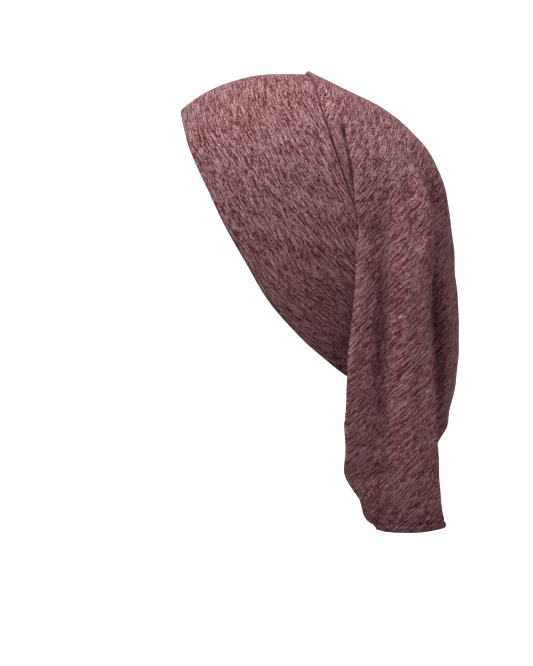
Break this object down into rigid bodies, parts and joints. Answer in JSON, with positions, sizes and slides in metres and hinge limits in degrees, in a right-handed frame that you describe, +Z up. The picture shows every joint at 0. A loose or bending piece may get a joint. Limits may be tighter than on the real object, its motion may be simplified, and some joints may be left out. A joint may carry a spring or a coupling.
{
  "type": "sleep snood",
  "caption": "Soft knitted sleep snood with a wide doubled band round the head and a long loose bag for the hair.",
  "frame": {"origin": "inside of the crown, at the top of the head that wears it", "axes": "+Z up, the face looks along -Y, the wearer's left is +X"},
  "size_m": [0.18, 0.2013, 0.3319],
  "materials": {
    "band_jersey": "brushed heather jersey, matt",
    "bag_jersey": "brushed heather jersey, matt",
    "seam_allowance": "overlocked jersey edges, matt"
  },
  "bodies": {
    "root": {"front_band": "band_jersey", "bag": "bag_jersey", "joining_seam": "seam_allowance"}
  },
  "joints": []
}
